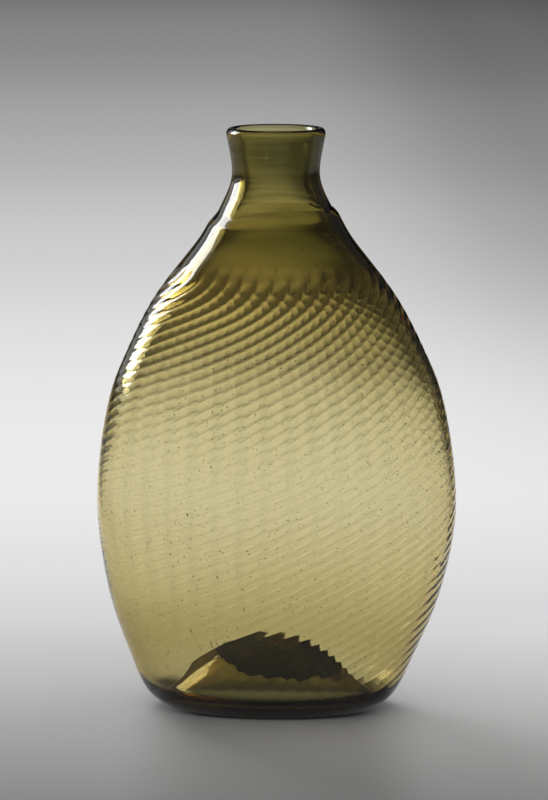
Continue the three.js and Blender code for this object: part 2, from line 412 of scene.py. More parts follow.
# %% [markdown]
# ## One closed skin
#
# The two gathers fused while they were hot, so light passes between them as if there were one
# piece. A gap between two solids would shine like a crack. The picture therefore gets one
# closed skin: up the outside, over the lip, down the bore, and across the kick-up. The second
# gather ends in a soft slope that is tilted and wanders a little, as far as the dip reached. The
# slope is a list of shares of its thickness inwards, and of millimetres upwards.

# %% Stack the rings of the skin
EDGE_LEVEL = 137.4 * MM
EDGE_TILT = math.radians(4.6)
EDGE_WANDER = 0.6 * MM
EDGE_SLOPE = [(0.06, 0.35), (0.24, 0.9), (0.5, 1.6), (0.76, 2.3), (0.94, 2.9)]
EDGE_TOP = 3.5 * MM
TILT_FADE = 9 * MM
LIP_DROP = 1.6 * MM
LIP_STEPS = 8
RIBBED_ROW = 0.8 * MM
PLAIN_ROW = 1.4 * MM
BORE_ROW = 1.3 * MM
RIBS_FADE_LEVEL = 70 * MM


def jacket_ring(distance):
    """A ring of the jacket: its columns follow the swirl, and its tilt fades below the edge."""
    level = float(jacket_side.at(distance)[0])
    near_edge = ease(level, EDGE_LEVEL - TILT_FADE, EDGE_LEVEL)
    turned = ribs_passed(level) / RIB_COUNT
    tilt, wander = EDGE_TILT * near_edge, EDGE_WANDER * near_edge
    return ring(jacket_side, distance, OUTER_COLUMNS, turned, tilt, sag=bow(level), wander=wander)


def edge_rings():
    """The soft slope that ends the jacket, from its outside in and up to the post."""
    rings = []
    for inwards, up in EDGE_SLOPE:
        at = jacket_side.distance(EDGE_LEVEL + up * MM)
        grow = -EDGE_THICKNESS * inwards
        rings.append(
            ring(jacket_side, at, OUTER_COLUMNS, tilt=EDGE_TILT, grow=grow, wander=EDGE_WANDER)
        )
    at = post_side.distance(EDGE_LEVEL + EDGE_TOP)
    return rings + [ring(post_side, at, INNER_COLUMNS, tilt=EDGE_TILT, wander=EDGE_WANDER)]


def neck_rings():
    """The plain outside of the neck, from above the edge up to the lip."""
    start = float(post_side.distance(EDGE_LEVEL + EDGE_TOP)) - PLAIN_ROW
    rings = []
    for distance in even_steps(start, 0, -PLAIN_ROW):
        near_edge = ease(distance, start - TILT_FADE / 2, start)
        tilt, wander = EDGE_TILT * near_edge, EDGE_WANDER * near_edge
        rings.append(ring(post_side, distance, INNER_COLUMNS, tilt=tilt, wander=wander))
    return rings


def lip_rings():
    """The fire-polished lip, rounded over from the outside to the bore."""
    angles = column_angles(LIP[1], LIP[2], INNER_COLUMNS, 0)
    rings = []
    for turn in np.linspace(0, math.pi, LIP_STEPS + 1)[1:-1]:
        radius = LIP[1] - NECK_WALL / 2 * (1 - math.cos(turn))
        level = np.full(INNER_COLUMNS, LIP[0] + LIP_DROP * math.sin(turn))
        rings.append(np.column_stack([radius * np.cos(angles), radius * np.sin(angles), level]))
    return rings


ribbed_end = float(jacket_side.distance(RIBS_FADE_LEVEL))
edge_start = float(jacket_side.distance(EDGE_LEVEL))
jacket_steps = np.concatenate([
    even_steps(edge_start, ribbed_end, RIBBED_ROW)[:-1],
    even_steps(ribbed_end, jacket_side.length, PLAIN_ROW),
])
turned_at_foot = ribs_passed(0) / RIB_COUNT
rest_angles = column_angles(rest_inner[1], rest_inner[2], OUTER_COLUMNS, turned_at_foot)
rest_ring = np.column_stack([
    rest_inner[1] * np.cos(rest_angles) + FOOT_SHIFT,
    rest_inner[2] * np.sin(rest_angles),
    np.zeros(OUTER_COLUMNS),
])
under = kick_rings(rest_inner, KICK_HEIGHT, OUTER_COLUMNS, turned_at_foot)
jacket = [jacket_ring(distance) for distance in jacket_steps]
bore = [ring(bore_side, at, INNER_COLUMNS) for at in even_steps(0, bore_side.length, BORE_ROW)]
bore_foot = tuple(float(value) for value in bore_side.at(bore_side.length))
floor_rings = kick_rings(bore_foot, KICK_TOP, INNER_COLUMNS)
outside_rings = under[::-1] + [rest_ring] + jacket[::-1]
skin = outside_rings + edge_rings() + neck_rings() + lip_rings() + bore + floor_rings
print("rings in the skin:", len(skin))

# %% Join the rings with triangles
def stitch(lower, upper, lower_start, upper_start):
    """Triangles between two rings, which may differ twofold in columns or end in a point."""
    few, many = sorted((len(lower), len(upper)))
    turn = np.arange(many)
    if few == 1:
        tip = np.zeros(many, int)
        rim = np.column_stack([turn, (turn + 1) % many, tip])
        if len(upper) == 1:
            return rim + [lower_start, lower_start, upper_start]
        return rim[:, [1, 0, 2]] + [upper_start, upper_start, lower_start]
    if few == many:
        after = (turn + 1) % many
        one_way = np.linalg.norm(lower[after] - upper, axis=1)
        other_way = np.linalg.norm(lower - upper[after], axis=1)
        short = (one_way <= other_way)[:, None]
        first = np.where(
            short,
            np.column_stack([turn, after, turn + many]),
            np.column_stack([turn, after, after + many]),
        )
        second = np.where(
            short,
            np.column_stack([after, after + many, turn + many]),
            np.column_stack([turn, after + many, turn + many]),
        )
        joined = np.vstack([first, second])
        return np.where(joined >= many, joined - many + upper_start, joined + lower_start)
    half = np.arange(few)
    even, odd, later = 2 * half, 2 * half + 1, (2 * half + 2) % many
    near, far = half, (half + 1) % few
    fan = [
        np.column_stack([even + lower_start, odd + lower_start, near + upper_start]),
        np.column_stack([odd + lower_start, later + lower_start, far + upper_start]),
        np.column_stack([odd + lower_start, far + upper_start, near + upper_start]),
    ]
    return np.vstack(fan)


def loft(rings):
    """Points and triangles of a closed skin made of rings."""
    starts = np.concatenate([[0], np.cumsum([len(row) for row in rings])])
    triangles = [
        stitch(rings[k], rings[k + 1], starts[k], starts[k + 1]) for k in range(len(rings) - 1)
    ]
    return np.vstack(rings), np.vstack(triangles)


def new_piece(name, points, faces):
    """A smooth-shaded object at the origin, with its place in its mesh."""
    mesh = bpy.data.meshes.new(name)
    mesh.from_pydata([tuple(point) for point in points], [], [tuple(face) for face in faces])
    mesh.shade_smooth()
    piece = bpy.data.objects.new(name, mesh)
    bpy.context.collection.objects.link(piece)
    return piece


points, triangles = loft(skin)
bottle = new_piece("bottle_glass", points, triangles.tolist())
print("bottle skin:", len(points), "points,", len(triangles), "triangles")

# %% [markdown]
# ## What each point knows about the ribs
#
# The Geometry Nodes tree below raises the ribs. It needs to know, for each point, how far round
# the ribs it lies and how high a rib stands there. Ribs stand highest on the shoulder, where the
# glass was thick, and are nearly blown away below it, more on the left than on the right. The
# ribs of the back are fainter than those of the front, and fade out at the shoulder. The mould
# also left upright seams, which did not swirl with the ribs and which break them into short
# dashes in the middle of the body. The levels and heights in the lists are in millimetres.

# %% Find the points of the jacket
def give_numbers(piece, name, numbers):
    """Writes one number for each point of a piece."""
    piece.data.attributes.new(name, "FLOAT", "POINT").data.foreach_set("value", numbers)


total = len(points)
under_points = sum(len(row) for row in under) + OUTER_COLUMNS
jacket_points = OUTER_COLUMNS * len(jacket)
own = slice(under_points, under_points + jacket_points)
column = np.tile(np.arange(OUTER_COLUMNS), len(jacket))
row_of_point = np.repeat(np.arange(len(jacket)), OUTER_COLUMNS)[::-1]
row_levels = np.array([float(jacket_side.at(distance)[0]) for distance in jacket_steps])
levels = row_levels[row_of_point]
print("points of the jacket:", jacket_points, "of", total)

# %% Write the rib attributes
RIB_LEVELS = [2, 8, 18, 29, 40, 54, 65, 73, 80, 87, 94, 105, 112, 119, 126]
RIB_HEIGHTS = [0, 0.03, 0.045, 0.05, 0.06, 0.065, 0.065, 0.065, 0.06, 0.055, 0.06, 0.09, 0.16, 0.2, 0]
BACK_SPAN = (-5 * MM, 15 * MM)
BACK_RIBS = 0.3
BACK_FADE = (115 * MM, 122 * MM)
RIGHT_GAIN = 0.9
LEFT_LIMIT = -0.6
SEAM_LEVELS = [20, 35, 82, 98]
SEAM_SHARES = [0, 1, 1, 0]

rib_turn, rib_height, seam_turn, seam_share = (np.zeros(total) for _ in range(4))
rib_turn[own] = column / OUTER_COLUMNS * RIB_COUNT
rib_height[own] = np.interp(levels, np.array(RIB_LEVELS) * MM, np.array(RIB_HEIGHTS) * MM)
ribs_above = np.array([ribs_passed(level) for level in row_levels])[row_of_point]
seam_turn[own] = rib_turn[own] - ribs_above
seam_share[own] = np.interp(levels, np.array(SEAM_LEVELS) * MM, SEAM_SHARES)
toward_back = ease(points[:, 1], *BACK_SPAN)
fading = ease(points[:, 2], *BACK_FADE)
rib_height *= 1 - toward_back * (1 - BACK_RIBS * (1 - fading))
rightwards_share = np.maximum(points[:, 0] / BELLY[1], LEFT_LIMIT)
low_down = 1 - ease(points[:, 2], BELLY[0], LOWER_CHEST[0])
right_gain = 1 + RIGHT_GAIN * rightwards_share * low_down
rib_height *= right_gain
give_numbers(bottle, "rib_turn", rib_turn)
give_numbers(bottle, "rib_height", rib_height)
give_numbers(bottle, "seam_turn", seam_turn)
give_numbers(bottle, "seam_share", seam_share)
print("highest rib in millimetres:", round(rib_height.max() / MM, 2))

# %% [markdown]
# ## Where the skin changes
#
# The grooves between the ribs are painted darker as shade, and the seams lighter as a painted
# highlight. The underside of the kick-up was pushed by a rod and never polished, so it is satin,
# and it also takes painted shade. The bore never saw the marver or the mould, so it stays clear.

# %% Write the painted shade, the satin and the inside
# Painted shade in the grooves and a painted highlight on the seams, listed by level in millimetres.
SHADE_LEVELS = [20, 30, 60, 72, 86, 104, 116, 121]
GROOVE_SHADES = [0, 0.14, 0.14, 0.3, 0.76, 0.76, 0.3, 0]
SEAM_HIGHLIGHTS = [0, 0.16, 0.32, 0.34, 0.26, 0.12, 0, 0]
rib_tone, seam_tone = np.zeros(total), np.zeros(total)
rib_tone[own] = np.interp(levels, np.array(SHADE_LEVELS) * MM, GROOVE_SHADES)
seam_tone[own] = np.interp(levels, np.array(SHADE_LEVELS) * MM, SEAM_HIGHLIGHTS)
rib_tone *= right_gain * (1 - (1 - BACK_RIBS) * toward_back)
satin = np.zeros(total)
satin[: under_points - OUTER_COLUMNS] = 1
inside = np.zeros(total)
inside[-sum(len(row) for row in bore + floor_rings):] = 1
give_numbers(bottle, "inside", inside)
give_numbers(bottle, "satin", satin)
give_numbers(bottle, "rib_tone", rib_tone)
give_numbers(bottle, "seam_tone", seam_tone)
print("points on the inside:", int(inside.sum()))

# %% [markdown]
# ## Olive glass
#
# Glass has no surface colour: it is clear, and light loses blue first on its way through the
# iron in it. So the surface is a plain clear glass, and the colour is the absorption of the
# volume, which makes thick glass darker by itself. The surface still varies. It has fine drawn
# lines that run with the swirl, soft dents from the mould and the marver, faint level marks of
# turning on the neck, and a scuffed, worn ring where the bottle has stood for two centuries. Its
# colour is dimmed at the shoulder and the neck. Painted shade darkens the foot, the grooves, the
# right of the shoulder and the satin underside of the kick-up, and painted light brightens the
# left of the shoulder.

# %% Give the skin its relief
WEAR_SPAN = (0.2 * MM, 1.2 * MM)
LINE_TURN = (0, 0.42, 0)
LINE_STRETCH = (90, 260, 900)
DENT_SCALE = 70
DENT_SHARE = 0.9
SCUFF_SCALE = 2600
SCUFF_SHARE = 0.6
TURNS_SPAN = (130 * MM, 140 * MM)
TURNS_STRETCH = (14, 14, 620)
TURNS_RELIEF = 1.2
BUMP_STRENGTH = 0.35
BUMP_HEIGHT = 0.1 * MM


def drawn_noise(bench, place, stretch, detail, turn=(0, 0, 0)):
    """Noise that is drawn out along one way, as hot glass is."""
    mapping = {"Vector": place, "Rotation": turn, "Scale": stretch}
    drawn = bench.node("ShaderNodeMapping", values=mapping)
    return bench.node("ShaderNodeTexNoise", values={"Vector": drawn, "Scale": 1, "Detail": detail})


def skin_relief(bench, place, scuffs, turns, drawn_lines):
    """A bump made of drawn lines, dents, scuffs and the marks of turning."""
    lines = drawn_noise(bench, place, LINE_STRETCH, 2, LINE_TURN)
    dents = bench.node(
        "ShaderNodeTexNoise", values={"Vector": place, "Scale": DENT_SCALE, "Detail": 1}
    )
    height = lines * drawn_lines + dents * DENT_SHARE + scuffs * SCUFF_SHARE + turns * TURNS_RELIEF
    bump = {"Height": height, "Strength": BUMP_STRENGTH, "Distance": BUMP_HEIGHT}
    return bench.node("ShaderNodeBump", values=bump)


print("relief distance in millimetres:", round(BUMP_HEIGHT / MM, 2))

# %% Give the skin its tint
# The dim colour darkens the glass up the bottle. The foot colour and the underside colour are painted
# shade.
DIM_COLOUR = (0.19, 0.22, 0.15, 1)
FOOT_SHADE_COLOUR = (0.03, 0.025, 0.016, 1)
UNDERSIDE_SHADE_COLOUR = (0.62, 0.72, 0.62, 1)
FOOT_SHADE_SPAN = (3.0 * MM, 7.2 * MM)
LEAN_SPAN = (98 * MM, 116 * MM)
# Painted shade and light: the shoulder is darker to the right and lighter to the left.
SHADE_LEAN = 9
TURNS_TONE = 0.7
# The low stops are painted shade at the foot. The higher stops dim the shoulder and the neck.
DIM_STOPS = [
    (0.0, 0.3), (0.008, 0.12), (0.022, 0.16), (0.036, 0.0), (0.106, 0.0), (0.118, 0.06),
    (0.124, 0.56), (0.131, 0.92), (0.138, 0.76), (0.147, 0.67), (0.155, 0.92), (0.163, 0.75),
]


def skin_tint(bench, place, level, turns, pushed, added_dark):
    """Clear glass, dimmed up the bottle and darkened in places by painted shade."""
    dim_places = [(stop / HEIGHT, amount) for stop, amount in DIM_STOPS]
    dimming = bench.node("ShaderNodeValToRGB", {"smooth_stops": dim_places}, {"Fac": level / HEIGHT})
    across = bench.node("ShaderNodeSeparateXYZ", values={0: place}, out="X")
    # Painted shade on the right of the shoulder and painted light on its left, with the turning marks.
    dimming = dimming + across * bench.eased(level, *LEAN_SPAN) * SHADE_LEAN + turns * TURNS_TONE
    # The tone adds painted shade in the grooves and a painted highlight on the seams.
    dimming = (dimming + bench.attribute("tone") + added_dark) * (1 - bench.attribute("inside"))
    tint = bench.mixed(dimming, (1, 1, 1, 1), DIM_COLOUR)
    # Painted shade: the foot is turned nearly black.
    tint = bench.mixed(1 - bench.eased(level, *FOOT_SHADE_SPAN), tint, FOOT_SHADE_COLOUR)
    # Painted shade: the satin underside of the kick-up is dimmed and its orange taken out.
    return bench.mixed(pushed, tint, UNDERSIDE_SHADE_COLOUR)


print("the film has", len(DIM_STOPS), "stops up the bottle")

# %% Make the olive glass
GLASS_IOR = 1.52
GLASS_ABSORPTION = 330
GLASS_PASSES = (0.812, 0.679, 0.03, 1)
SATIN_ROUGHNESS = 0.3
SCUFF_ROUGHNESS = 0.5


def olive_glass(name, drawn_lines=0.12, added_dark=0.08, roughness=0.01):
    """A varied clear surface over an absorbing volume."""
    material, bench, output = new_material(name)
    place = bench.node("ShaderNodeTexCoord", out="Object")
    level = bench.node("ShaderNodeSeparateXYZ", values={0: place}, out="Z")
    grit = bench.node(
        "ShaderNodeTexNoise", values={"Vector": place, "Scale": SCUFF_SCALE, "Detail": 3}
    )
    scuffs = (1 - bench.eased(level, *WEAR_SPAN)) * grit
    turns = (drawn_noise(bench, place, TURNS_STRETCH, 3) - 0.5) * bench.eased(level, *TURNS_SPAN)
    pushed = bench.attribute("satin")
    shader = bench.node(
        "ShaderNodeBsdfPrincipled",
        values={
            "Base Color": skin_tint(bench, place, level, turns, pushed, added_dark),
            "Roughness": scuffs * SCUFF_ROUGHNESS + pushed * SATIN_ROUGHNESS + roughness,
            "IOR": GLASS_IOR,
            "Transmission Weight": 1,
            "Normal": skin_relief(bench, place, scuffs, turns, drawn_lines),
        },
    )
    volume = bench.node(
        "ShaderNodeVolumeAbsorption", values={"Color": GLASS_PASSES, "Density": GLASS_ABSORPTION}
    )
    material.node_tree.links.new(shader.socket, output.inputs["Surface"])
    material.node_tree.links.new(volume.socket, output.inputs["Volume"])
    return material


bottle_olive = olive_glass("olive_glass")
print("made", bottle_olive.name)

# %% [markdown]
# ## Raising the ribs
#
# The ribs repeat by a rule, so Geometry Nodes make them. The tree moves each point outwards by
# a wave round the bottle, with a broad crest and a narrow groove, as blown-out ribs have. More
# moves make it hand work: slow waves in the wall, a wobble that keeps the ribs from being ruled
# lines, and a small slip of the ribs at each upright seam.

# %% Define how a tree is made and used
def new_tree(name, inputs):
    """A Geometry Nodes tree with named inputs, its bench, and a wire for each input."""
    tree = bpy.data.node_groups.new(name, "GeometryNodeTree")
    tree.interface.new_socket("Geometry", in_out="INPUT", socket_type="NodeSocketGeometry")
    for label, kind in inputs.items():
        tree.interface.new_socket(label, in_out="INPUT", socket_type="NodeSocket" + kind)
    tree.interface.new_socket("Geometry", in_out="OUTPUT", socket_type="NodeSocketGeometry")
    bench = Bench(tree)
    enter = tree.nodes.new("NodeGroupInput")
    wires = {label: Wire(bench, enter.outputs[label]) for label in ["Geometry", *inputs]}
    return tree, bench, wires


def with_tone(bench, geometry, domain, tone):
    """Stores the tone that the material reads, for each point or each instance."""
    settings = {"data_type": "FLOAT", "domain": domain}
    values = {"Geometry": geometry, "Name": "tone", "Value": tone}
    return bench.node("GeometryNodeStoreNamedAttribute", settings, values)


def close_tree(tree, bench, geometry, finish):
    """Ends a tree in Realize Instances and Set Material."""
    real = bench.node("GeometryNodeRealizeInstances", values={"Geometry": geometry})
    coated = bench.node("GeometryNodeSetMaterial", values={"Geometry": real, "Material": finish})
    leave = tree.nodes.new("NodeGroupOutput")
    tree.links.new(coated.socket, leave.inputs["Geometry"])


def apply_tree(piece, tree, values):
    """Runs a tree on a piece and keeps the result as the piece's plain mesh."""
    modifier = piece.modifiers.new(tree.name, "NODES")
    modifier.node_group = tree
    for item in tree.interface.items_tree:
        if item.in_out == "INPUT" and item.name in values:
            modifier[item.identifier] = values[item.name]
    shown = piece.evaluated_get(bpy.context.evaluated_depsgraph_get())
    mesh = bpy.data.meshes.new_from_object(shown)
    piece.modifiers.remove(modifier)
    piece.data = mesh
    mesh.name = piece.name


print("trees can be made and applied")

# %% Build the rib tree
WOBBLE_SCALE = 45
WAVE_SCALE = 38
RIDGE_POWER = 6

rib_tree, rib_bench, rib_given = new_tree(
    "swirled_ribs",
    {
        "Rib strength": "Float",
        "Groove sharpness": "Float",
        "Wobble": "Float",
        "Seam break": "Float",
        "Seam height": "Float",
        "Wall waves": "Float",
        "Seed": "Float",
        "Finish": "Material",
    },
)


def held(name):
    """The value of a point's own attribute."""
    settings = {"data_type": "FLOAT"}
    return rib_bench.node("GeometryNodeInputNamedAttribute", settings, {"Name": name})


def noise(scale, offset):
    """Slow noise over the bottle, from -0.5 to 0.5, moved by the seed."""
    here = rib_bench.node("GeometryNodeInputPosition")
    settings = {"noise_dimensions": "4D"}
    values = {"Vector": here, "W": rib_given["Seed"] + offset, "Scale": scale, "Detail": 1}
    return rib_bench.node("ShaderNodeTexNoise", settings, values) - 0.5


def wave(turn):
    """A wave between 0 and 1 that peaks once for each turn it is given."""
    return rib_bench.maths("COSINE", turn * (2 * math.pi)) * 0.5 + 0.5


past_seam = rib_bench.maths("FRACT", held("seam_turn")) - 0.5
slip = past_seam * held("seam_share") * rib_given["Seam break"]
shifted = held("rib_turn") + noise(WOBBLE_SCALE, 0) * rib_given["Wobble"] + slip
crest = 1 - (1 - wave(shifted)) ** rib_given["Groove sharpness"]
seam = wave(held("seam_turn") + 0.5) ** RIDGE_POWER
waves = noise(WAVE_SCALE, 7) * rib_given["Wall waves"]
seams = seam * held("seam_share") * rib_given["Seam height"]
out = crest * held("rib_height") * rib_given["Rib strength"] + seams + waves
move = rib_bench.scaled(rib_bench.node("GeometryNodeInputNormal"), out)
moved = {"Geometry": rib_given["Geometry"], "Offset": move}
raised = rib_bench.node("GeometryNodeSetPosition", values=moved)
groove = (1 - wave(shifted)) ** RIDGE_POWER
# Painted shade in the grooves, less a painted highlight on the seams.
shade_and_highlight = groove * held("rib_tone") - seam * held("seam_tone")
close_tree(rib_tree, rib_bench, with_tone(rib_bench, raised, "POINT", shade_and_highlight), rib_given["Finish"])
print("rib tree:", len(rib_tree.nodes), "nodes")

# %% Raise the ribs
rib_values = {
    "Rib strength": 1.0,
    "Groove sharpness": 2.0,
    "Wobble": 0.3,
    "Seam break": 0.35,
    "Seam height": 0.05 * MM,
    "Wall waves": 0.22 * MM,
    "Seed": 3.0,
    "Finish": bottle_olive,
}
apply_tree(bottle, rib_tree, rib_values)
# The slow waves also move the foot, and no point of it may end below the table.
for point in bottle.data.vertices:
    point.co.z = max(point.co.z, 0)
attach(bottle, "root")
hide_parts("first_gather", "half_post")
print("ribbed skin:", len(bottle.data.polygons), "faces")

# %% [markdown]
# ## The pontil scar
#
# When the bottle was cracked off the rod, a torn ring of glass stayed under the base. Here it is
# a wide oval patch with a small hole, a little right of the dome's middle, and it reads as the
# dark shape in the dome: it is darkened nearly to the dim colour, partly for the torn glass and
# partly as painted shade. A torn break has no rule to it, so this piece is rings of points moved
# by layered waves and chance: sharp teeth on its lower side, fused into the dome on its upper
# side. The section is a list of shares of the width outwards and of the thickness upwards.

# %% Tear the rings of the scar
SCAR_RADIUS = 11.4 * MM
SCAR_WIDTH = 10.5 * MM
SCAR_DEPTH = 0.66
SCAR_THICKNESS = 1.6 * MM
SCAR_MIDDLE = 0.5 * MM
SCAR_COLUMNS = 180
SCAR_SEED = 11
SCAR_TEARS = (3, 7, 13, 22, 37)
TEAR_SHARE = 0.16
TOOTH_SHARE = 0.1
SCAR_SECTION = [
    (-0.5, 0.15), (-0.42, -0.45), (-0.2, -0.85), (0.1, -1),
    (0.35, -0.7), (0.5, 0.15), (0, 0.25),
]


def dome_level(x, y, middle):
    """Height of the underside of the kick-up over a point, for a dome about a middle."""
    return KICK_HEIGHT * kick_form(np.hypot((x - middle) / rest_inner[1], y / rest_inner[2]))


def scar_rings():
    """Rings of the scar's cross-section, torn by a sum of waves that don't repeat evenly."""
    angles = np.arange(SCAR_COLUMNS) * 2 * math.pi / SCAR_COLUMNS
    draws = np.random.default_rng(SCAR_SEED)
    torn = sum(
        np.sin(count * angles + draws.uniform(0, 6)) / count**0.6 for count in SCAR_TEARS
    )
    uneven = 1 + TEAR_SHARE * torn
    rings = []
    for across, up in SCAR_SECTION:
        jitter = 1 + TOOTH_SHARE * draws.normal(size=SCAR_COLUMNS) * (up < 0)
        radius = SCAR_RADIUS + SCAR_WIDTH * across * uneven * jitter
        x, y = SCAR_MIDDLE + radius * np.cos(angles), radius * SCAR_DEPTH * np.sin(angles)
        ceiling = dome_level(x, y, kick_middle(dome_level(x, y, FOOT_SHIFT)))
        level = ceiling + SCAR_THICKNESS * up * uneven * jitter
        rings.append(np.column_stack([x, y, level]))
    return rings


torn_rings = scar_rings()
print("rings of the scar:", len(torn_rings))

# %% Build the pontil scar
scar_points, scar_faces = loft(torn_rings + torn_rings[:1])
scar = new_piece("pontil_glass", scar_points, scar_faces.tolist())
# The scar is darkened nearly to the dim colour, partly for its torn glass and partly as painted shade in
# the dome.
scar.data.materials.append(
    olive_glass("torn_olive_glass", drawn_lines=2.5, added_dark=0.9, roughness=0.3)
)
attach(scar, "root")
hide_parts("pontil_scar")
print("pontil scar:", len(scar_faces), "faces")

# %% [markdown]
# ## Seeds in the glass
#
# Old glass is full of seeds, tiny bubbles and grit. Swirling drew them out along the ribs. They
# repeat by the thousand over one surface, so Geometry Nodes scatter them over a hidden skin in
# the middle of the wall and turn each one along the swirl.

# %% Build the skin that carries the seeds
SEED_TOP = 132 * MM
SEED_END = 0.93
SEED_ROW = 2.4 * MM
SEED_COLUMNS = INNER_COLUMNS // 2


def seed_ring(distance):
    """A ring in the middle of the wall, whose columns follow the swirl."""
    level = float(jacket_side.at(distance)[0])
    wall = float(np.interp(level, [station[0] for station in BODY][::-1], BODY_WALLS[::-1]))
    turned = ribs_passed(level) / RIB_COUNT
    return ring(jacket_side, distance, SEED_COLUMNS, turned, sag=bow(level), grow=-wall / 2)


def give_arrows(piece, name, arrows):
    """Writes one direction for each point of a piece."""
    data = piece.data.attributes.new(name, "FLOAT_VECTOR", "POINT").data
    data.foreach_set("vector", np.asarray(arrows, float).ravel())


seed_start = float(jacket_side.distance(SEED_TOP))
seed_steps = even_steps(seed_start, SEED_END * jacket_side.length, SEED_ROW)
seed_rings = [seed_ring(distance) for distance in seed_steps]
seed_arrows = [below - above for above, below in zip(seed_rings, seed_rings[1:])]
seed_arrows.append(seed_arrows[-1])
seed_points, seed_faces = loft(seed_rings[::-1])
seeds = new_piece("seeds", seed_points, seed_faces.tolist())
give_arrows(seeds, "along", np.vstack(seed_arrows[::-1]))
print("seed skin:", len(seed_faces), "faces")

# %% Make the dark of the seeds
SEED_COLOURS = [
    (0.0, (0.03, 0.022, 0.006, 1)),
    (0.75, (0.1, 0.075, 0.025, 1)),
    (1.0, (0.5, 0.45, 0.2, 1)),
]
SEED_ROUGHNESS = 0.25

seed_dark, bench, output = new_material("seed_dark")
speck = bench.node("ShaderNodeValToRGB", {"stops": SEED_COLOURS}, {"Fac": bench.attribute("tone")})
shader = bench.node(
    "ShaderNodeBsdfPrincipled", values={"Base Color": speck, "Roughness": SEED_ROUGHNESS}
)
seed_dark.node_tree.links.new(shader.socket, output.inputs["Surface"])
print("made", seed_dark.name)

# %% Build the seed tree
seed_tree, seed_bench, seed_given = new_tree(
    "scattered_seeds",
    {
        "Per square metre": "Float",
        "Smallest": "Float",
        "Largest": "Float",
        "Longest": "Float",
        "Seed": "Int",
        "Finish": "Material",
    },
)


def chance(low, high, salt):
    """A random number for each seed."""
    values = {2: low, 3: high, "Seed": seed_given["Seed"] + salt}
    return seed_bench.node("FunctionNodeRandomValue", {"data_type": "FLOAT"}, values, out=1)


spread_out = {
    "Mesh": seed_given["Geometry"],
    "Density": seed_given["Per square metre"],
    "Seed": seed_given["Seed"],
}
spots = seed_bench.node("GeometryNodeDistributePointsOnFaces", values=spread_out)
size_span = seed_given["Largest"] - seed_given["Smallest"]
size = seed_given["Smallest"] + size_span * chance(0.0, 1.0, 1) ** 2
length = size * chance(1.0, seed_given["Longest"], 2)
scale = seed_bench.node("ShaderNodeCombineXYZ", values={0: size, 1: size, 2: length})
along = seed_bench.node(
    "GeometryNodeInputNamedAttribute", {"data_type": "FLOAT_VECTOR"}, {"Name": "along"}
)
facing = seed_bench.node("FunctionNodeAlignRotationToVector", {"axis": "Z"}, {"Vector": along})
grain = seed_bench.node("GeometryNodeMeshIcoSphere", values={"Radius": 1, "Subdivisions": 1})
instances = {"Points": spots, "Instance": grain, "Rotation": facing, "Scale": scale}
placed = seed_bench.node("GeometryNodeInstanceOnPoints", values=instances)
toned = with_tone(seed_bench, placed, "INSTANCE", chance(0.0, 1.0, 3))
close_tree(seed_tree, seed_bench, toned, seed_given["Finish"])
print("seed tree:", len(seed_tree.nodes), "nodes")

# %% Scatter the seeds
seed_values = {
    "Per square metre": 150000.0,
    "Smallest": 0.08 * MM,
    "Largest": 0.17 * MM,
    "Longest": 1.6,
    "Seed": 5,
    "Finish": seed_dark,
}
apply_tree(seeds, seed_tree, seed_values)
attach(seeds, "root")
print("seeds:", len(seeds.data.polygons), "faces")

# %% [markdown]
# ## The stage
#
# The bottle stands on a pale sheet that runs back and curves up behind it. A pool of light lies
# on the sheet behind the bottle and fades upwards, to the right and on both sides of the bottle.
# The dark sides are what gives the glass its dark edges. The front end is the grey of a room, and
# in this picture only reflections show it. The fade is colour on the sheet, so the lamps stay
# plain. Glass shows what is behind it, so there the sheet looks the same to the camera and
# through the glass. Near the bottle it takes the real shadow, and painted light makes the near
# floor brighter to the right of the bottle. The camera sees only part of that shadow beside the
# bottle, and through the glass a share of the sheet's own level shows.

# %% Build the sheet
SHEET_HALF_WIDTH = 2.5
SHEET_FRONT = -1.6
CURVE_START = 3.4
CURVE_RADIUS = 0.9
SHEET_TOP = 4.2
FLAT_ROWS = 120
BEND_ROWS = 25
WALL_ROWS = 20


def sheet_line():
    """Points along the sheet from the front, back over the floor, round the curve and up."""
    flat = [(y, 0) for y in np.linspace(SHEET_FRONT, CURVE_START, FLAT_ROWS)]
    bend = [
        (CURVE_START + CURVE_RADIUS * math.sin(a), CURVE_RADIUS * (1 - math.cos(a)))
        for a in np.linspace(0, math.pi / 2, BEND_ROWS)[1:]
    ]
    heights = np.linspace(CURVE_RADIUS, SHEET_TOP, WALL_ROWS)[1:]
    wall = [(CURVE_START + CURVE_RADIUS, z) for z in heights]
    return flat + bend + wall


line = np.array(sheet_line())
run = np.concatenate([[0], np.cumsum(np.linalg.norm(np.diff(line, axis=0), axis=1))]) + SHEET_FRONT
rightwards = np.array([math.cos(CAMERA_TURN), math.sin(CAMERA_TURN), 0])
away = np.array([-math.sin(CAMERA_TURN), math.cos(CAMERA_TURN), 0])
edges = (-SHEET_HALF_WIDTH, SHEET_HALF_WIDTH)
corners = [x * rightwards + y * away + [0, 0, z] for y, z in line for x in edges]
strips = [(2 * k, 2 * k + 1, 2 * k + 3, 2 * k + 2) for k in range(len(line) - 1)]
sheet = new_piece("pale_sheet", corners, strips)
give_numbers(sheet, "run", np.repeat(run, 2))
give_numbers(sheet, "aside", np.tile(edges, len(line)))
print("sheet runs from", SHEET_FRONT, "to", round(run[-1], 2))

# %% Colour the sheet
def srgb(value):
    """The linear level of a picture value from 0 to 255."""
    share = value / 255
    return share / 12.92 if share <= 0.04045 else ((share + 0.055) / 1.055) ** 2.4


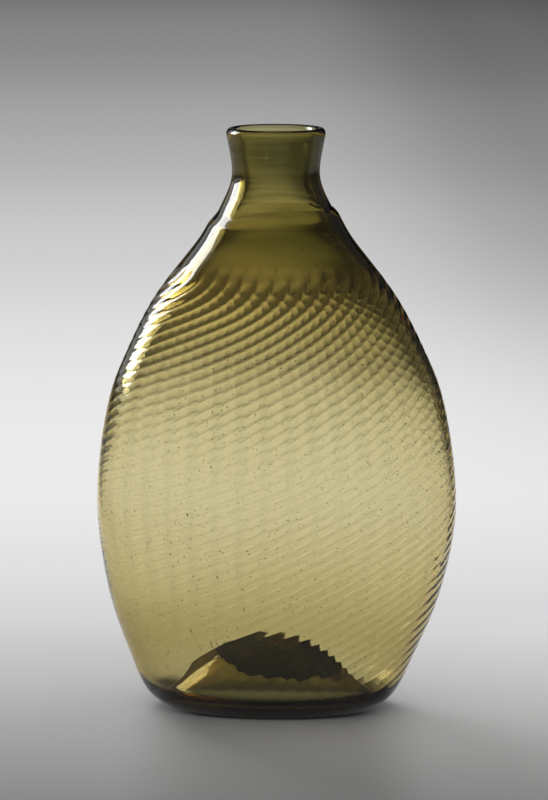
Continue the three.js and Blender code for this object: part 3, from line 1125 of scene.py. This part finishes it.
RUN_SPAN = (-1.6, 6)
LIT_REACH = 0.15
LIT_SPREAD = 0.1
LIT_EDGE = (1.0, 1.6)
DARK_SIDES = 0.62
FRONT_END = (-0.6, -0.2)
FAR_SPAN = (0.1, 1.3)
POOL = [
    (-1.6, 78), (-0.9, 82), (-0.4, 102), (-0.1, 147), (0, 182), (0.12, 212),
    (0.38, 235), (0.9, 217), (1.5, 186), (2.3, 152), (3.4, 120), (5, 70),
]
SIDE_SPAN = (-1.5, 1.5)
SIDE_FALL = [
    (-1.5, 1.0), (-0.2, 1.0), (0.03, 0.97), (0.1, 0.76),
    (0.16, 0.62), (0.25, 0.58), (0.6, 0.35), (1.5, 0.25),
]


def spread(stops, span):
    """Stops of a ramp, as shares of the span that the ramp covers."""
    return [((place - span[0]) / (span[1] - span[0]), level) for place, level in stops]


sheet_paper, bench, output = new_material("sheet_paper")
across = bench.attribute("aside")
back = bench.attribute("run")
back_share = (back - RUN_SPAN[0]) / (RUN_SPAN[1] - RUN_SPAN[0])
pool_stops = spread([(place, srgb(value)) for place, value in POOL], RUN_SPAN)
pool = bench.node("ShaderNodeValToRGB", {"smooth_stops": pool_stops}, {"Fac": back_share})
side_stops = spread(SIDE_FALL, SIDE_SPAN)
side_share = (across - SIDE_SPAN[0]) / (SIDE_SPAN[1] - SIDE_SPAN[0])
side_fade = bench.node("ShaderNodeValToRGB", {"smooth_stops": side_stops}, {"Fac": side_share})
lit_reach = bench.maths("MAXIMUM", back, 0) * LIT_SPREAD + LIT_REACH
apart = bench.maths("MAXIMUM", across, across * -1)
unlit = bench.eased(apart / lit_reach, *LIT_EDGE) * DARK_SIDES
in_front = 1 - bench.eased(back, *FRONT_END)
lit_width = bench.maths("MAXIMUM", 1 - unlit, in_front)
pool_fade = bench.mixed(bench.eased(back, *FAR_SPAN), pool, side_fade, "MULTIPLY")
fade = bench.scaled(pool_fade, lit_width)
print("sheet fades over", len(POOL), "stops")

# %% Let the near floor take the shadow
NEAR_TONE = 1.05
RIGHT_LIGHT_GAIN = 0.45
NEAR_SPAN = (-0.05, 0.15)
GLASS_SHARE = 0.3
BESIDE_SHARE = 0.6
BESIDE_SPAN = (0.02, 0.045)
BEHIND_SPAN = (0.02, 0.16)

# Painted light: the near floor is brighter to the right of the bottle.
near_light = bench.eased(across, *NEAR_SPAN) * RIGHT_LIGHT_GAIN + NEAR_TONE
lit = bench.node("ShaderNodeBsdfDiffuse", values={"Color": bench.scaled(fade, near_light)})
shown = bench.node("ShaderNodeEmission", values={"Color": fade, "Strength": 1})
rays = bench.tree.nodes.new("ShaderNodeLightPath")
camera_ray = Wire(bench, rays.outputs["Is Camera Ray"])
glossy_ray = Wire(bench, rays.outputs["Is Glossy Ray"])
glass_ray = Wire(bench, rays.outputs["Is Transmission Ray"])
through_glass = bench.maths("MINIMUM", glossy_ray + glass_ray, 1) * GLASS_SHARE
beside = bench.eased(apart, *BESIDE_SPAN) * BESIDE_SHARE * camera_ray
behind = bench.maths("MAXIMUM", bench.eased(back, *BEHIND_SPAN), in_front)
seen = bench.maths("MINIMUM", camera_ray + glossy_ray + glass_ray, 1)
near_level = bench.maths("MAXIMUM", beside, through_glass)
own_level = bench.maths("MAXIMUM", seen * behind, near_level)
paper = bench.node("ShaderNodeMixShader", values={0: own_level, 1: lit, 2: shown})
bench.tree.links.new(paper.socket, output.inputs["Surface"])
sheet.data.materials.append(sheet_paper)
print("the sheet has its paper")

# %% [markdown]
# ## The lamps
#
# The key lamp stands to the left and behind, and throws the soft shadow to the right and towards
# the camera. A side lamp and a wide panel stand further left. They are there for the bright
# streaks on the left shoulder and neck, so the sheet does not take their light, and the panel is
# seen only as a reflection. A weak wide lamp above fills the rest. The room is dim grey, and
# glass edges turn dark where they show it.

# %% Place the lamps
KEY_WATTS = 8
SIDE_WATTS = 6
PANEL_WATTS = 4
FILL_WATTS = 15
ROOM_GREY = 0.075


def place_lamp(name, watts, size, place, target, colour):
    """A lamp of a width and a height, at a place, turned towards a target."""
    data = bpy.data.lights.new(name, "AREA")
    data.shape = "RECTANGLE"
    data.size, data.size_y = size
    data.energy = watts
    data.color = colour
    lamp = bpy.data.objects.new(name, data)
    lamp.location = place
    lamp.rotation_euler = (Vector(target) - Vector(place)).to_track_quat("-Z", "Y").to_euler()
    bpy.context.collection.objects.link(lamp)
    return lamp


COOL = (0.97, 0.99, 1)
WARM = (1, 0.985, 0.95)
key = place_lamp(
    "key_lamp", KEY_WATTS, size=(0.5, 0.4), place=(-0.43, 0.8, 0.62), target=(0, 0, 0.05), colour=COOL
)
key.visible_glossy = False
key.visible_transmission = False
side = place_lamp(
    "side_lamp", SIDE_WATTS, size=(0.42, 0.5), place=(-0.84, 0.36, 0.5), target=(0, 0, 0.05), colour=COOL
)
side.visible_diffuse = False
panel = place_lamp(
    "panel_lamp", PANEL_WATTS, size=(1.6, 1.2), place=(-1.4, 0.8, 0.75), target=(0, 0, 0.08), colour=COOL
)
panel.visible_diffuse = False
panel.visible_transmission = False
fill = place_lamp(
    "fill_lamp", FILL_WATTS, size=(1.6, 1.6), place=(0, 0, 1.7), target=(0, 0, 0), colour=WARM
)
fill.visible_glossy = False
fill.visible_transmission = False

world = bpy.data.worlds.new("dim_room")
world.use_nodes = True
world.node_tree.nodes["Background"].inputs["Color"].default_value = (ROOM_GREY,) * 3 + (1,)
bpy.context.scene.world = world
print("lamps:", KEY_WATTS, SIDE_WATTS, PANEL_WATTS, FILL_WATTS, "watts")

# %% [markdown]
# ## Light paths and colour
#
# Light crosses four glass surfaces on its way through a bottle, and many more at the base and
# where it is reflected inside the wall, so the path limit is raised. The Standard view shows
# colours as they are written.

# %% Set the light paths
cycles = bpy.context.scene.cycles
cycles.max_bounces = 32
cycles.transmission_bounces = 28
cycles.glossy_bounces = 12
cycles.diffuse_bounces = 4
bpy.context.scene.view_settings.view_transform = "Standard"
print("transmission bounces:", cycles.transmission_bounces)
